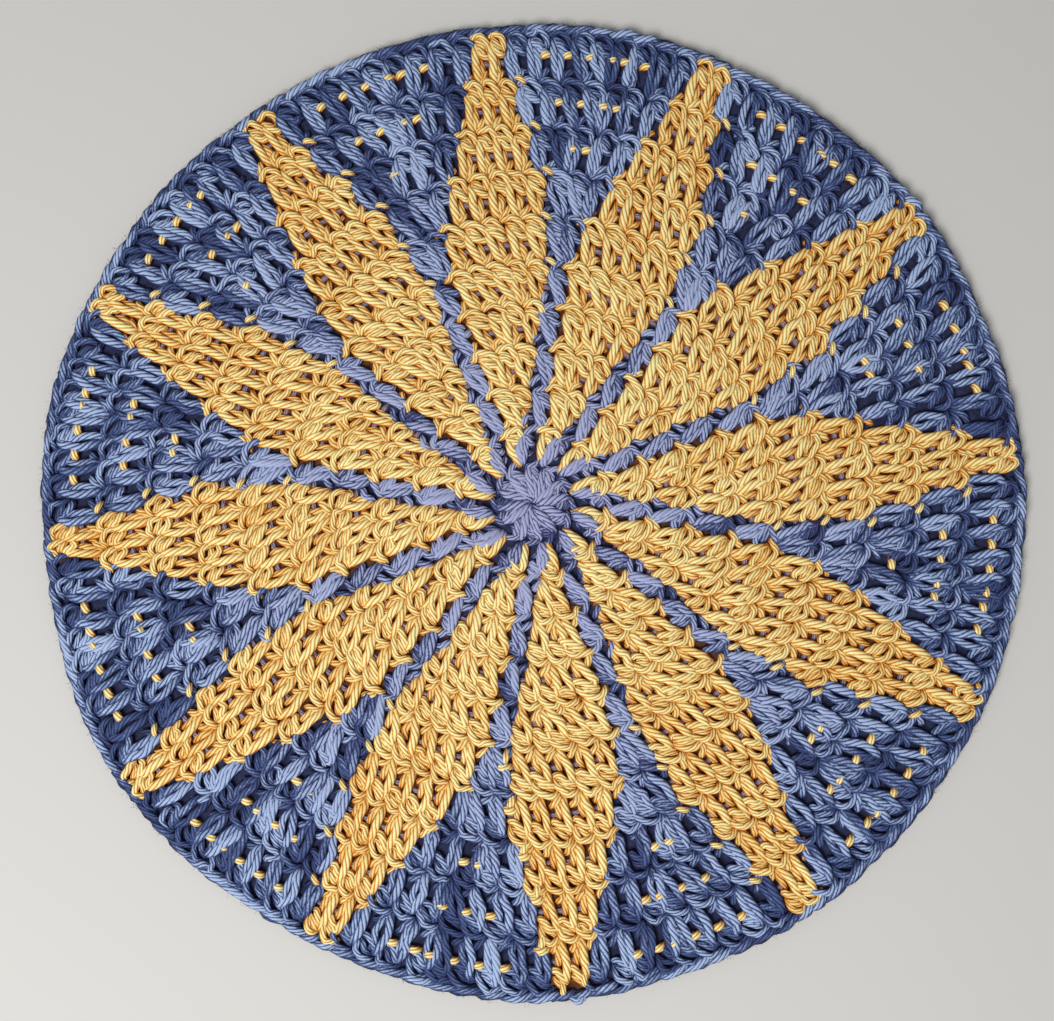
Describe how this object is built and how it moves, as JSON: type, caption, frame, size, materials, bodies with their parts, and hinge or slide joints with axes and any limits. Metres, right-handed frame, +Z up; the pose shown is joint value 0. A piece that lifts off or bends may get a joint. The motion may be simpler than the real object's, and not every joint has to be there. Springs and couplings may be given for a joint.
{
  "type": "crochet placemat",
  "caption": "Round flat crochet placemat, worked in ribbed rounds from the centre, with a slightly uneven rim and a narrow edging of loops.",
  "frame": {"origin": "centre of the first round, on the flat underside that rests on the table", "axes": "+Z up out of the worked upper face; +Y away from the viewer of the picture, +X to the viewer's right"},
  "size_m": [0.3312, 0.3294, 0.0048],
  "materials": {
    "cotton_yarn": "matt cotton yarn, slate blue; the yellow petals are worked in by colour alone"
  },
  "bodies": {
    "root": {"mat": "cotton_yarn"}
  },
  "joints": []
}
